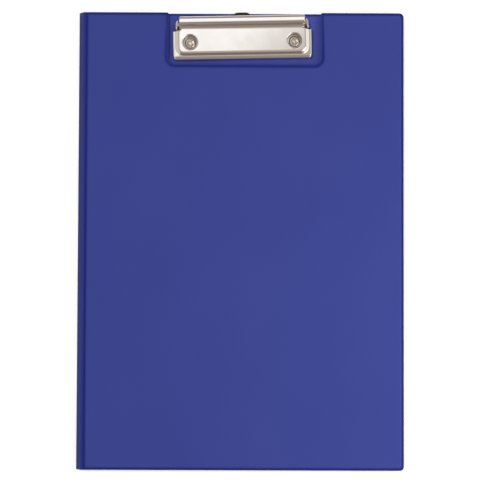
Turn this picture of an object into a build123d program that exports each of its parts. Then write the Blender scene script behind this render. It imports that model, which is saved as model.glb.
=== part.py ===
from build123d import *
from math import acos, atan2, cos, pi, sin, tan
import os

# Clipboard folder, closed and lying on its back. Millimetres.
# +X across the folder to its free edge, +Y towards the clip, +Z up.
# The origin is the middle of the back face, where the folder lies on a table.

# Folder
folder_width = 228.0
folder_length = 320.0
corner_radius = 2.8
closed_gap = 2.6

# Films and boards
film = 0.35
back_board = 2.2
cover_board = 1.6
edge_seam = 1.0
edge_slope = 1.5
hinge_seam = 2.3
board_slack = 0.2

# Spine between its two creases
spine_lean = 3.2
crease_gap = 1.0

# Notch in the cover round the clip
notch_side_gap = 4.65
notch_front_gap = 3.5
notch_shift = 2.5
notch_radius = 4.5
notch_lip_radius = 1.5

# Pocket welded inside the cover
pocket_film = 0.3
pocket_gap = 0.8
pocket_weld = 3.0
pocket_margin = 3.0
pocket_left_height = 150.0
pocket_right_height = 95.0

# Clip as a whole, about the middle of its two rivets
rivet_margin = 20.5
clip_shift = 0.8
rivet_inset = 12.15
clip_turn = 1.2
sheet = 1.0

# Jaw plate
jaw_width = 97.5
jaw_height = 6.8
jaw_front = 10.8
jaw_rear = 7.5
lip_lean = 1.3
lip_gap = 0.1
jaw_edge_radius = 1.5
flange_lift = 0.5
emboss_side_inset = 2.75
emboss_front_inset = 1.9
emboss_rise = 0.9
emboss_slope = 2.2
emboss_radius = 6.2
emboss_edge_radius = 0.8
access_radius = 5.0
access_rim = 1.0
access_rim_depth = 0.5
access_shift = 0.8

# Finger lever
lever_inset = 4.85
lever_run = 1.2
lever_bend_radius = 3.0
lever_rise_angle = 62.0
lever_rise_length = 2.6
lever_crown_radius = 3.5
lever_flare_angle = 18.0
lever_flare_length = 0.8
lever_roll_radius = 1.1
lever_roll_angle = 60.0

# Pivot
pivot_back = 10.3
pivot_height = 4.1
rod_radius = 1.25
rod_head_radius = 1.9
rod_head = 0.5
running_fit = 0.05
ear_radius = 2.4
ear_gap = 1.15
lug_gap = 1.7

# Base plate
base_front = 7.0
base_behind_pivot = 4.3
base_corner = 3.0
ear_front = 1.0

# Rivets
shank_radius = 2.3
rivet_head_radius = 4.6
rivet_head = 0.8
flange_radius = 3.8
flange_rise = 0.7
funnel_mouth = 2.4
funnel_throat = 1.0
funnel_depth = 1.9

# Hanging loop and its channel in the base plate
loop_width = 14.0
loop_thick = 1.3
loop_hole_radius = 4.0
loop_reach = 0.4
loop_length = 24.4
lug_width = 2.0
lug_length = 4.0
slide_gap = 0.1

# Torsion springs
wire = 1.0
spring_fit = 0.2
spring_turns = 4
turn_gap = 0.5
spring_place = 28.0
arm_inset = 1.0
seat_gap = 0.1

# How close two places count as the same
near = 0.01


# Levels, from the table up
back_top = 2 * film + back_board
back_weld = back_top / 2
cover_bottom = back_top + closed_gap
cover_top = cover_bottom + 2 * film + cover_board
cover_weld = (cover_bottom + cover_top) / 2

# Notch, sized from the clip that it leaves free
notch_width = jaw_width + 2 * notch_side_gap
notch_depth = rivet_margin + jaw_front + lip_lean + notch_front_gap

# Creases, seen along Y as points in X and Z
back_crease = Vector(-folder_width / 2 + film, back_weld)
front_crease = Vector(back_crease.X + spine_lean, cover_weld)
spine_way = (front_crease - back_crease).normalized()
spine_out = Vector(-spine_way.Y, spine_way.X)
half_length = folder_length / 2
right_edge = folder_width / 2

# Places on the clip: X across, Y back towards the top edge, Z up from the back board's film
clip_place = Pos(clip_shift, half_length - rivet_margin, back_top) * Rot(0, 0, clip_turn)
rivet_spacing = jaw_width - 2 * rivet_inset
rivet_places = {"left": -rivet_spacing / 2, "right": rivet_spacing / 2}
panel_top = jaw_height + emboss_rise
emboss_width = jaw_width - 2 * emboss_side_inset
emboss_front = jaw_front - emboss_front_inset
lever_width = jaw_width - 2 * lever_inset
lever_start = jaw_rear + lever_run
pivot = Vector(0, pivot_back, pivot_height)
base_rear = pivot_back + base_behind_pivot
flange_inner = jaw_width / 2 - sheet
ear_outer = flange_inner - ear_gap
ear_inner = ear_outer - sheet
lug_outer = ear_inner - lug_gap
hole_radius = shank_radius + running_fit
channel_top = loop_thick + 2 * slide_gap
channel_half = loop_width / 2 + lug_width + slide_gap
loop_end = rivet_margin + loop_reach
loop_start = loop_end - loop_length
channel_start = loop_start - slide_gap


def plate(face, low, high):
    """A flat sheet with the outline of face, between two heights."""
    return extrude(Pos(0, 0, low) * face, amount=high - low)


def tapered(low_face, low, high_face, high):
    """A solid that runs straight from one outline to another at a greater or smaller height."""
    sections = [Pos(0, 0, low) * low_face, Pos(0, 0, high) * high_face]
    return loft(sections, ruled=True)


def along_y(profile, length):
    """A profile drawn in X and Z, drawn out along Y on both sides of the middle."""
    return extrude(Plane.XZ * profile, amount=length / 2, both=True)


def along_x(profile, low, high):
    """A profile drawn in Y and Z, drawn out along X."""
    return extrude(Pos(low, 0, 0) * (Plane.YZ * profile), amount=high - low)


def polygon(*points):
    """A flat face from corner points."""
    return make_face(Polyline(*points, close=True))


def rounded(points, radii):
    """A flat face from corner points, each with its own corner radius."""
    return make_face(FilletPolyline(*points, radius=radii, close=True))


def corner_share(inset):
    """How much of a corner's radius is left where an outline is drawn in by inset."""
    return 1 - inset / (2 * edge_seam + 2 * edge_slope)


def back_outline(left, inset):
    """Outline of the back panel, drawn in by inset on the three sides away from the spine."""
    low, high, right = inset - half_length, half_length - inset, right_edge - inset
    radius = corner_radius * corner_share(inset)
    points = [(left, low), (right, low), (right, high), (left, high)]
    return rounded(points, [0, radius, radius, 0])


def cover_outline(left, inset):
    """Outline of the cover, with the notch that leaves the clip free."""
    low, high, right = inset - half_length, half_length - inset, right_edge - inset
    notch_left = notch_shift - notch_width / 2 - inset
    notch_right = notch_shift + notch_width / 2 + inset
    notch_low = half_length - notch_depth - inset
    radius = corner_radius * corner_share(inset)
    lip_radius = notch_lip_radius * corner_share(inset)
    inner_radius = notch_radius + inset
    points = [
        (left, low),
        (right, low),
        (right, high),
        (notch_right, high),
        (notch_right, notch_low),
        (notch_left, notch_low),
        (notch_left, high),
        (left, high),
    ]
    radii = [0, radius, radius, lip_radius, inner_radius, inner_radius, lip_radius, 0]
    return rounded(points, radii)


def slope_shift(board):
    """How far in the film's inner face lies, so that the sloped side is one film thick."""
    rise = board / 2
    return film * tan(atan2(rise, edge_slope) / 2)


def welded_film(outline, crease, board, weld, face):
    """One film of a panel: flat over the board, sloped at the edges, flat again at the weld."""
    side = 1 if face > weld else -1
    shift = slope_shift(board)
    foot = crease + hinge_seam
    seam_top = weld + side * film
    flange = plate(outline(crease + crease_gap, 0), min(weld, seam_top), max(weld, seam_top))
    hill = tapered(
        outline(foot, edge_seam),
        seam_top,
        outline(foot + edge_slope, edge_seam + edge_slope),
        face,
    )
    hollow = tapered(
        outline(foot + shift, edge_seam + shift),
        weld,
        outline(foot + edge_slope + shift, edge_seam + edge_slope + shift),
        face - side * film,
    )
    return flange + hill - hollow


def panel_board(outline, crease, board, low):
    """The grey board of a panel, which lies loose between its two films."""
    inset = edge_seam + edge_slope + slope_shift(board) + board_slack
    left = crease + hinge_seam - edge_seam + inset
    return plate(outline(left, inset), low, low + board)


def rivet_bores(radius, low, high):
    """Two upright cylinders at the rivets, to be cut from what they pass through."""
    bores = []
    for across in rivet_places.values():
        bore = Pos(across, 0, (low + high) / 2 - back_top) * Cylinder(radius, high - low)
        bores.append(clip_place * bore)
    return bores


def make_back():
    """Board and films of the back, bored for the rivets and sunk for their heads."""
    shanks = rivet_bores(hole_radius, 0, back_top)
    heads = rivet_bores(rivet_head_radius + running_fit, 0, rivet_head)
    left = back_crease.X
    board = panel_board(back_outline, left, back_board, film)
    outer = welded_film(back_outline, left, back_board, back_weld, 0)
    inner = welded_film(back_outline, left, back_board, back_weld, back_top)
    return {
        "back_board": board - shanks - heads,
        "back_outer_film": outer - shanks - heads,
        "back_inner_film": inner - shanks,
    }


def make_cover():
    """Board and films of the cover."""
    left = front_crease.X
    low = cover_bottom + film
    return {
        "cover_board": panel_board(cover_outline, left, cover_board, low),
        "cover_outer_film": welded_film(cover_outline, left, cover_board, cover_weld, cover_top),
        "cover_inner_film": welded_film(
            cover_outline, left, cover_board, cover_weld, cover_bottom
        ),
    }


def crease_film(crease, ways):
    """The welded pair of films that bends at a crease, with one leg along each way."""
    profile = Pos(crease.X, crease.Y) * Circle(film)
    for way in ways:
        aside = Vector(-way.Y, way.X) * film
        end = crease + way * crease_gap
        profile = profile + polygon(crease + aside, end + aside, end - aside, crease - aside)
    return along_y(profile, folder_length)


def spine_film(low_side, high_side):
    """One film of the spine, between two distances from the line of the creases."""
    start = back_crease + spine_way * crease_gap
    end = front_crease - spine_way * crease_gap
    corners = [
        start + spine_out * low_side,
        end + spine_out * low_side,
        end + spine_out * high_side,
        start + spine_out * high_side,
    ]
    return along_y(polygon(*corners), folder_length)


def make_spine():
    """Films of the spine and the two creases."""
    across = Vector(1, 0)
    return {
        "spine_outer_film": spine_film(0, film),
        "spine_inner_film": spine_film(-film, 0),
        "back_crease_film": crease_film(back_crease, [across, spine_way]),
        "front_crease_film": crease_film(front_crease, [across, spine_way * -1]),
    }


def make_pocket():
    """Pocket sheet inside the cover, welded on three sides and open at its slanted top."""
    inset = edge_seam + edge_slope + pocket_margin
    left = front_crease.X + hinge_seam - edge_seam + inset
    right = right_edge - inset
    low = inset - half_length
    mouth_slope = (pocket_right_height - pocket_left_height) / (right - left)
    outside = polygon(
        (left, low),
        (right, low),
        (right, low + pocket_right_height),
        (left, low + pocket_left_height),
    )
    inner_left = left + pocket_weld
    inner_right = right - pocket_weld
    past = pocket_left_height
    inside = polygon(
        (inner_left, low + pocket_weld),
        (inner_right, low + pocket_weld),
        (inner_right, low + pocket_right_height - mouth_slope * pocket_weld + past),
        (inner_left, low + pocket_left_height + mouth_slope * pocket_weld + past),
    )
    bottom = cover_bottom - pocket_gap - pocket_film
    whole = plate(outside, bottom, cover_bottom)
    return whole - plate(inside, bottom + pocket_film, cover_bottom)


def lever_path():
    """Middle line of the panel's rear edge and the finger lever, seen along X."""
    start = Vector(jaw_rear - 2 * sheet, panel_top - sheet / 2)
    pieces = [Line(start, Vector(lever_start, start.Y))]

    def run(length):
        last = pieces[-1]
        pieces.append(Line(last @ 1, (last @ 1) + (last % 1) * length))

    def bend(radius, angle):
        last = pieces[-1]
        pieces.append(JernArc(last @ 1, last % 1, radius, angle))

    bend(lever_bend_radius, lever_rise_angle)
    run(lever_rise_length)
    bend(lever_crown_radius, lever_flare_angle - lever_rise_angle)
    run(lever_flare_length)
    bend(lever_roll_radius, -lever_flare_angle - lever_roll_angle)
    return pieces


def emboss_outline(inset):
    """Outline of the raised panel, open-ended behind the jaw's rear edge."""
    half = emboss_width / 2 - inset
    front = inset - emboss_front
    radius = max(emboss_radius - inset, sheet / 2)
    rear = jaw_rear
    return rounded(
        [(-half, front), (half, front), (half, rear), (-half, rear)], [radius, radius, 0, 0]
    )


def hood(width, front, top, low, foot, radius):
    """Rounded block in the jaw's shape: its front leans out towards the foot."""
    profile = polygon((jaw_rear, low), (jaw_rear, top), (-front, top), (-foot, low))
    block = along_x(profile, -width / 2, width / 2)
    top_edges = block.faces().sort_by(Axis.Z)[-1].edges().sort_by(Axis.Y)[:-1]
    front_face = block.faces().sort_by(Axis.Y)[0]
    sides = front_face.edges().sort_by(Axis.X)
    return fillet(top_edges + [sides[0], sides[-1]], radius)


def panel_foot(block):
    """Edges where the raised panel leaves the jaw's flat top."""
    found = []
    for edge in block.edges():
        middle = edge.center()
        level = abs(middle.Z - jaw_height) < near
        inside = abs(middle.X) < emboss_width / 2 + near
        ahead = -emboss_front - near < middle.Y < jaw_rear - near
        if level and inside and ahead:
            found.append(edge)
    return found


def make_jaw():
    """Jaw plate pressed from one sheet, closed on the board, with its lever at the back."""
    foot = jaw_front + lip_lean
    outer = hood(jaw_width, jaw_front, jaw_height, lip_gap, foot, jaw_edge_radius)
    inner = hood(
        jaw_width - 2 * sheet,
        jaw_front - sheet,
        jaw_height - sheet,
        lip_gap - sheet,
        foot - sheet + lip_lean * sheet / jaw_height,
        jaw_edge_radius - sheet,
    )
    raised = tapered(
        emboss_outline(0), jaw_height - sheet / 2, emboss_outline(emboss_slope), panel_top
    )
    rim = raised.faces().sort_by(Axis.Z)[-1].edges().sort_by(Axis.Y)[:-1]
    raised = fillet(rim, emboss_edge_radius)
    under = tapered(
        emboss_outline(sheet),
        jaw_height - sheet,
        emboss_outline(emboss_slope + sheet),
        panel_top - sheet,
    )
    path = lever_path()
    strip = trace(Wire(path), line_width=sheet)
    lever = along_x(strip, -lever_width / 2, lever_width / 2)
    block = outer + raised
    block = fillet(panel_foot(block), emboss_edge_radius)
    jaw = block - inner - under + lever
    jaw = jaw - along_x(
        polygon(
            (jaw_rear, pivot_height),
            (-base_front, flange_lift),
            (-jaw_front, flange_lift),
            (-jaw_front, 0),
            (jaw_rear, 0),
        ),
        -jaw_width,
        jaw_width,
    )
    for across in rivet_places.values():
        here = Pos(across, -access_shift, panel_top)
        jaw = jaw - here * Cylinder(access_radius, 4 * sheet)
        dish = Cone(access_radius, access_radius + access_rim, access_rim_depth)
        jaw = jaw - here * Pos(0, 0, -access_rim_depth / 2) * dish
    ring = Pos(pivot.Y, pivot.Z) * Circle(ear_radius)
    hang = polygon(
        (pivot.Y - ear_radius, pivot.Z),
        (pivot.Y + ear_radius, pivot.Z),
        (pivot.Y + sheet, panel_top + sheet / 2),
        (pivot.Y - ear_radius, panel_top - sheet / 2),
    )
    lug = ring + hang - Pos(pivot.Y, pivot.Z) * Circle(rod_radius + running_fit)
    for low in (-lug_outer, lug_outer - sheet):
        jaw = jaw + along_x(lug, low, low + sheet)
    return clip_place * jaw


def make_base():
    """Base plate riveted to the board, with an ear at each end and the loop's channel."""
    flat = rounded(
        [
            (-ear_outer, -base_front),
            (ear_outer, -base_front),
            (ear_outer, base_rear),
            (-ear_outer, base_rear),
        ],
        [base_corner, base_corner, sheet, sheet],
    )
    base = plate(flat, 0, sheet)
    ear = polygon(
        (ear_front, 0),
        (base_rear - sheet, 0),
        (pivot.Y + ear_radius, pivot.Z),
        (pivot.Y - ear_radius, pivot.Z),
    )
    ear = ear + Pos(pivot.Y, pivot.Z) * Circle(ear_radius)
    ear = ear - Pos(pivot.Y, pivot.Z) * Circle(rod_radius + running_fit)
    for low in (-ear_outer, ear_inner):
        base = base + along_x(ear, low, low + sheet)
    length = base_rear - channel_start
    middle = (base_rear + channel_start) / 2
    raised = Box(2 * channel_half + 2 * sheet, length + sheet, channel_top + sheet)
    base = base + Pos(0, middle - sheet / 2, (channel_top + sheet) / 2) * raised
    slot = Box(2 * channel_half, length, channel_top)
    base = base - Pos(0, middle, channel_top / 2) * slot
    stop = Box(lug_width, sheet, channel_top)
    for side in (-1, 1):
        place = Pos(side * (channel_half - lug_width / 2), base_rear - sheet / 2, channel_top / 2)
        base = base + place * stop
    for across in rivet_places.values():
        base = base - Pos(across, 0, sheet / 2) * Cylinder(hole_radius, sheet)
    return clip_place * base


def make_rod():
    """Pivot rod, peened outside both ears."""
    rod = Cylinder(rod_radius, 2 * ear_outer)
    head = Cylinder(rod_head_radius, rod_head)
    for side in (-1, 1):
        rod = rod + Pos(0, 0, side * (ear_outer + rod_head / 2)) * head
    return clip_place * Pos(*pivot) * Rot(0, 90, 0) * rod


def make_rivet(across):
    """Semi-tubular rivet: flat head sunk in the back, end rolled out over the base plate."""
    seat = back_top + sheet
    top = seat + flange_rise
    outline = [
        (0, 0),
        (rivet_head_radius, 0),
        (rivet_head_radius, rivet_head),
        (shank_radius, rivet_head),
        (shank_radius, seat),
        (flange_radius, seat),
        (flange_radius, seat + flange_rise / 2),
        (funnel_mouth + (flange_radius - funnel_mouth) / 2, top),
        (funnel_mouth, top),
        (funnel_throat, top - funnel_depth),
        (0, top - funnel_depth),
    ]
    profile = Plane.XZ * polygon(*outline)
    return clip_place * Pos(across, 0, -back_top) * revolve(profile, Axis.Z)


def make_loop():
    """Hanging loop: a flat tongue that slides out past the top edge, kept by two lugs."""
    radius = loop_width / 2
    middle = (loop_start + loop_end - radius) / 2
    tongue = Pos(0, middle) * Rectangle(loop_width, loop_length - radius)
    tongue = tongue + Pos(0, loop_end - radius) * Circle(radius)
    lugs = Rectangle(loop_width + 2 * lug_width, lug_length)
    lugs = Pos(0, loop_start + lug_length / 2) * lugs
    hole = Pos(0, loop_end - radius) * Circle(loop_hole_radius)
    return clip_place * plate(tongue + lugs - hole, slide_gap / 2, slide_gap / 2 + loop_thick)


def biarc(start, way_in, end, way_out):
    """Two arcs that leave start along way_in and reach end along way_out."""
    gap = end - start
    square = 2 * (1 - way_in.dot(way_out))
    linear = 2 * gap.dot(way_in + way_out)
    reach = ((linear**2 + 4 * square * gap.dot(gap)) ** 0.5 - linear) / (2 * square)
    joint = (start + way_in * reach + end - way_out * reach) / 2
    first = TangentArc(start, joint, tangent=way_in)
    second = TangentArc(joint, end, tangent=first % 1)
    return [first, second]


def make_spring(side):
    """Torsion spring wound on the rod: one arm on the base plate, one behind the lever."""
    radius = rod_radius + spring_fit + wire / 2
    pitch = wire + turn_gap
    clear = wire / 2 + seat_gap
    rise = lever_path()[2]
    lean = rise % 1
    low_end = Vector(base_rear - arm_inset, sheet + clear) - Vector(pivot.Y, pivot.Z)
    high_end = (rise @ 1) + Vector(lean.Y, -lean.X) * (sheet / 2 + clear)
    high_end = high_end - Vector(pivot.Y, pivot.Z)
    first_angle = atan2(low_end.Y, low_end.X) + acos(radius / low_end.length)
    last_angle = atan2(high_end.Y, high_end.X) - acos(radius / high_end.length)
    last_angle = last_angle + 2 * pi * spring_turns
    quarters = 4 * spring_turns
    step = (last_angle - first_angle) / quarters

    def place(across, point):
        return Vector(side * across, pivot.Y + point.X, pivot.Z + point.Y)

    def point(angle):
        across = spring_place - pitch * (angle - first_angle) / (2 * pi)
        return place(across, Vector(cos(angle), sin(angle)) * radius)

    def way(angle):
        return Vector(0, -sin(angle), cos(angle))

    angles = [first_angle + step * count for count in range(quarters + 1)]
    last_across = spring_place - pitch * (last_angle - first_angle) / (2 * pi)
    path = [Line(place(spring_place, low_end), point(first_angle))]
    for low, high in zip(angles[:-1], angles[1:]):
        path.extend(biarc(point(low), way(low), point(high), way(high)))
    path.append(Line(point(last_angle), place(last_across, high_end)))
    section = Plane(origin=path[0] @ 0, z_dir=way(first_angle)) * Circle(wire / 2)
    least = min(
        (point(low) - point(high)).length
        for low in angles
        for high in angles
        if high - low > pi
    )
    print("spring", side, "least gap between turns", round(least - wire, 3))
    return clip_place * sweep(section, path=Wire(path))


def write_parts(parts):
    """Write one STEP file for each piece."""
    os.makedirs("parts", exist_ok=True)
    for name, shape in parts.items():
        export_step(shape, f"parts/{name}.step")
        print(name, "solids", len(shape.solids()), "volume", round(shape.volume, 2))


parts = {}
parts.update(make_back())
parts.update(make_cover())
parts.update(make_spine())
parts["inside_pocket"] = make_pocket()
parts["clip_base"] = make_base()
parts["clip_jaw_plate"] = make_jaw()
parts["clip_pivot_rod"] = make_rod()
parts["clip_rivet_left"] = make_rivet(rivet_places["left"])
parts["clip_rivet_right"] = make_rivet(rivet_places["right"])
parts["hanging_loop"] = make_loop()
parts["clip_spring_left"] = make_spring(-1)
parts["clip_spring_right"] = make_spring(1)
write_parts(parts)
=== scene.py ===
from math import acos, atan2, cos, pi, radians, sin, tan

import bmesh
import bpy
from mathutils import Matrix, Vector


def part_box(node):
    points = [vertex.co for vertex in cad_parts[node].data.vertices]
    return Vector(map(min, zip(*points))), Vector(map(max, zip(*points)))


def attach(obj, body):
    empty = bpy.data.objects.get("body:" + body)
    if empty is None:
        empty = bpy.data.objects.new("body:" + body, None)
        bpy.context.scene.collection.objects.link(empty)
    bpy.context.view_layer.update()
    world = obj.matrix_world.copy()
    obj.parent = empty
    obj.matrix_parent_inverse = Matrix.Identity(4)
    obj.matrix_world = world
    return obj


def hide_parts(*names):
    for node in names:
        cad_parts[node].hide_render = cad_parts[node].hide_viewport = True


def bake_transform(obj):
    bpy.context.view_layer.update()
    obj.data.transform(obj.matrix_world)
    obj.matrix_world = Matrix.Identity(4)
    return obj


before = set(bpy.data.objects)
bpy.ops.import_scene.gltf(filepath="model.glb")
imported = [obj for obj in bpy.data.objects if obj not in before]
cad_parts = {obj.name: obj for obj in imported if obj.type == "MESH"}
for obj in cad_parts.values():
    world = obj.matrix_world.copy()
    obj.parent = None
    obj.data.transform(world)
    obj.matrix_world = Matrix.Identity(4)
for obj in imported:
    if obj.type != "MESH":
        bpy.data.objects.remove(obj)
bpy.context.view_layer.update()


# Back panel
# The back is a grey board between two blue plastic films, welded together along their edges.
# At its left the weld runs on as the first crease and half of the spine.
mm = 0.001


def box_of(node):
    """The low and the high corner of a CAD node, in millimetres."""
    return [Vector([round(value / mm, 3) for value in corner]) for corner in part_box(node)]


film = 0.35
corner_radius = 2.8
edge_seam = 1.0
edge_slope = 1.5
slope_steps = 8
seam_depth = 0.06
groove_start = 0.25
groove_side = 0.15
# Tones of painted shade along the notch's edge: light at the cut, a dark band over the slope.
notch_edge_shade = 0.3
notch_seam_shade = 0.5
hinge_seam = 2.3
crease_gap = 1.0
film_end_round = 0.08
back_low, back_high = box_of("back_outer_film")
right_edge, half_length, back_weld = back_high
back_face = 2 * back_weld
back_crease = Vector((back_low.x - crease_gap, back_weld))
cover_low, cover_high = box_of("cover_outer_film")
front_crease = Vector((cover_low.x - crease_gap, cover_low.z))
spine_way = (front_crease - back_crease).normalized()
spine_out = Vector((-spine_way.y, spine_way.x))
spine_half = (front_crease - back_crease).length / 2


def feed(tree, socket, value):
    """Link a socket to another one, or set it to a value."""
    if isinstance(value, bpy.types.NodeSocket):
        tree.links.new(value, socket)
    else:
        socket.default_value = value


def add_node(tree, kind, inputs=None, **settings):
    """A node with its settings made and its sockets fed."""
    made = tree.nodes.new(kind)
    for name, value in settings.items():
        setattr(made, name, value)
    for name, value in (inputs or {}).items():
        feed(tree, made.inputs[name], value)
    return made


def noise(tree, place, scale, detail, **inputs):
    """Soft noise with so many waves per metre."""
    values = {"Vector": place, "Scale": scale, "Detail": detail, **inputs}
    return add_node(tree, "ShaderNodeTexNoise", values).outputs["Fac"]


def spread(tree, value, low, high, start=0.0, end=1.0):
    """A value that runs from start to end, brought to run from low to high."""
    values = {"Value": value, "From Min": start, "From Max": end, "To Min": low, "To Max": high}
    return add_node(tree, "ShaderNodeMapRange", values).outputs["Result"]


def mixed(tree, share, first, second):
    """The colour between first and second at a share of the way."""
    values = {"Factor": share, "A": first, "B": second}
    return add_node(tree, "ShaderNodeMix", values, data_type="RGBA").outputs["Result"]


def sum_of(tree, operation, *values):
    """The result of a sum on sockets or numbers."""
    made = add_node(tree, "ShaderNodeMath", dict(enumerate(values)), operation=operation)
    return made.outputs[0]


def screen_colour(red, green, blue):
    """A colour given from 0 to 255 as on a screen, made linear for a socket."""
    shares = [value / 255 for value in (red, green, blue)]
    return [s / 12.92 if s < 0.04045 else ((s + 0.055) / 1.055) ** 2.4 for s in shares] + [1.0]


def new_material(name, colour):
    """A material with only its Principled BSDF, and that shader's tree."""
    material = bpy.data.materials.new(name)
    material.use_nodes = True
    tree = material.node_tree
    tree.nodes.clear()
    shader = add_node(tree, "ShaderNodeBsdfPrincipled", {"Base Color": colour})
    add_node(tree, "ShaderNodeOutputMaterial", {"Surface": shader.outputs["BSDF"]})
    return material, tree, shader


def dress(tree, shader, colour, rough, height, strength, depth):
    """Give a shader its colour, its roughness and a relief that is depth metres deep."""
    values = {"Height": height, "Strength": strength, "Distance": depth}
    relief = add_node(tree, "ShaderNodeBump", values).outputs["Normal"]
    feed(tree, shader.inputs["Base Color"], colour)
    feed(tree, shader.inputs["Roughness"], rough)
    feed(tree, shader.inputs["Normal"], relief)


def group_tree(name, inputs, outputs):
    """An empty shader node group. Inputs gives each float input's value, or None for a vector."""
    tree = bpy.data.node_groups.new(name, "ShaderNodeTree")
    for label, value in inputs.items():
        kind = "NodeSocketVector" if value is None else "NodeSocketFloat"
        socket = tree.interface.new_socket(label, in_out="INPUT", socket_type=kind)
        if value is not None:
            socket.default_value = value
    for label in outputs:
        tree.interface.new_socket(label, in_out="OUTPUT", socket_type="NodeSocketFloat")
    return tree, tree.nodes.new("NodeGroupInput"), tree.nodes.new("NodeGroupOutput")


def film_grain_group():
    """Fine calendered grain, slow shade patches and faint handling marks of a plastic film."""
    inputs = {"Place": None, "Grains per metre": 1400.0, "Patches per metre": 14.0}
    tree, given, result = group_tree("film grain", inputs, ("Height", "Patch", "Rub"))
    place = given.outputs["Place"]
    per_metre = given.outputs["Grains per metre"]
    cells = add_node(
        tree, "ShaderNodeTexVoronoi", {"Vector": place, "Scale": per_metre}, feature="SMOOTH_F1"
    )
    fine = noise(tree, place, per_metre, 3.0)
    height = sum_of(tree, "MULTIPLY_ADD", cells.outputs["Distance"], 0.7, fine)
    streaks = noise(tree, place, 90.0, 5.0, Roughness=0.7)
    feed(tree, result.inputs["Height"], height)
    feed(tree, result.inputs["Patch"], noise(tree, place, given.outputs["Patches per metre"], 2.0))
    feed(tree, result.inputs["Rub"], spread(tree, streaks, 0.0, 1.0, 0.52, 0.75))
    return tree


film_grain = film_grain_group()
# The strip over the crease and spine gets this much of the darker weld tone, as painted shade.
spine_shade_tone = 0.4


def film_material(name, light, dark, seam):
    """Blue plastic film: embossed grain, smoother, darker and duller where it is welded. The same darker
    tone is painted shade where it runs up the lower edge slopes, along the notch's edge and over the
    spine.
    """
    material, tree, shader = new_material(name, light)
    place = add_node(tree, "ShaderNodeAttribute", attribute_name="at_rest").outputs["Vector"]
    weld_and_shade_tone = add_node(tree, "ShaderNodeAttribute", attribute_name="weld").outputs["Fac"]
    grain = add_node(tree, "ShaderNodeGroup", {"Place": place}, node_tree=film_grain).outputs
    shade = mixed(tree, grain["Patch"], dark, light)
    rough = spread(tree, grain["Rub"], 0.4, 0.33)
    height = sum_of(tree, "MULTIPLY", grain["Height"], spread(tree, weld_and_shade_tone, 1.0, 0.25))
    dress(tree, shader, mixed(tree, weld_and_shade_tone, shade, seam), rough, height, 0.35, 0.00006)
    gloss = spread(tree, weld_and_shade_tone, 0.18, 0.06, 0.0, spine_shade_tone)
    feed(tree, shader.inputs["Specular IOR Level"], gloss)
    return material


blue_film = film_material(
    "blue film", screen_colour(48, 58, 124), screen_colour(43, 52, 119), screen_colour(25, 32, 99)
)
# The inner films are a lighter copy of the blue film: painted light against the shade in the notch
# beside the clip, used on the cover's inside too.
inner_film_painted_lighter = film_material(
    "inner film", screen_colour(62, 71, 145), screen_colour(56, 65, 139), screen_colour(34, 41, 116)
)


def mesh_of(name, bm):
    """The mesh that bm holds. It closes bm."""
    mesh = bpy.data.meshes.new(name)
    bm.to_mesh(mesh)
    bm.free()
    return mesh


def placed(name, data):
    """An object with this data, linked to the scene."""
    made = bpy.data.objects.new(name, data)
    bpy.context.scene.collection.objects.link(made)
    return made


def finished(name, bm, material, sharp=35.0):
    """A mesh object from bm with its doubles merged, its faces outwards and its sharp edges kept."""
    bmesh.ops.remove_doubles(bm, verts=bm.verts, dist=1e-7)
    bmesh.ops.dissolve_degenerate(bm, edges=bm.edges, dist=1e-8)
    bmesh.ops.recalc_face_normals(bm, faces=bm.faces)
    for face in bm.faces:
        face.smooth = True
    for edge in bm.edges:
        edge.smooth = edge.calc_face_angle(0.0) < radians(sharp)
    mesh = mesh_of(name, bm)
    mesh.materials.append(material)
    return placed(name, mesh)


def keep_rest_place(piece):
    """Store each point's place at rest, so that the grain stays on the film when it bends."""
    attribute = piece.data.attributes.new("at_rest", "FLOAT_VECTOR", "POINT")
    for spot, vertex in zip(attribute.data, piece.data.vertices):
        spot.vector = vertex.co


def rounded_line(corners, steps):
    """Points along straight runs, with each corner given as x, y and the radius that rounds it."""
    line = []
    for index, (x, y, radius) in enumerate(corners):
        here = Vector((x, y))
        if radius <= 0 or index in (0, len(corners) - 1):
            line.append(here)
            continue
        way_in = (here - Vector(corners[index - 1][:2])).normalized()
        way_out = (Vector(corners[index + 1][:2]) - here).normalized()
        turn = way_in.angle_signed(way_out)
        inwards = Vector((way_in.y, -way_in.x)) * (1 if turn > 0 else -1)
        centre = here - way_in * radius * tan(abs(turn) / 2) + inwards * radius
        for step in range(steps + 1):
            angle = abs(turn) * step / steps
            line.append(centre - inwards * radius * cos(angle) + way_in * radius * sin(angle))
    return line


def inset_share(inset):
    """How much of a corner's radius is left where an outline is drawn in by inset."""
    return 1 - inset / (2 * edge_seam + 2 * edge_slope)


def back_line(left, inset):
    """Edge of the back from its bottom left corner round to its top left one, drawn in by inset."""
    low, high, right = inset - half_length, half_length - inset, right_edge - inset
    radius = corner_radius * inset_share(inset)
    corners = [(left, low, 0), (right, low, radius), (right, high, radius), (left, high, 0)]
    return rounded_line(corners, 10)


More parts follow.
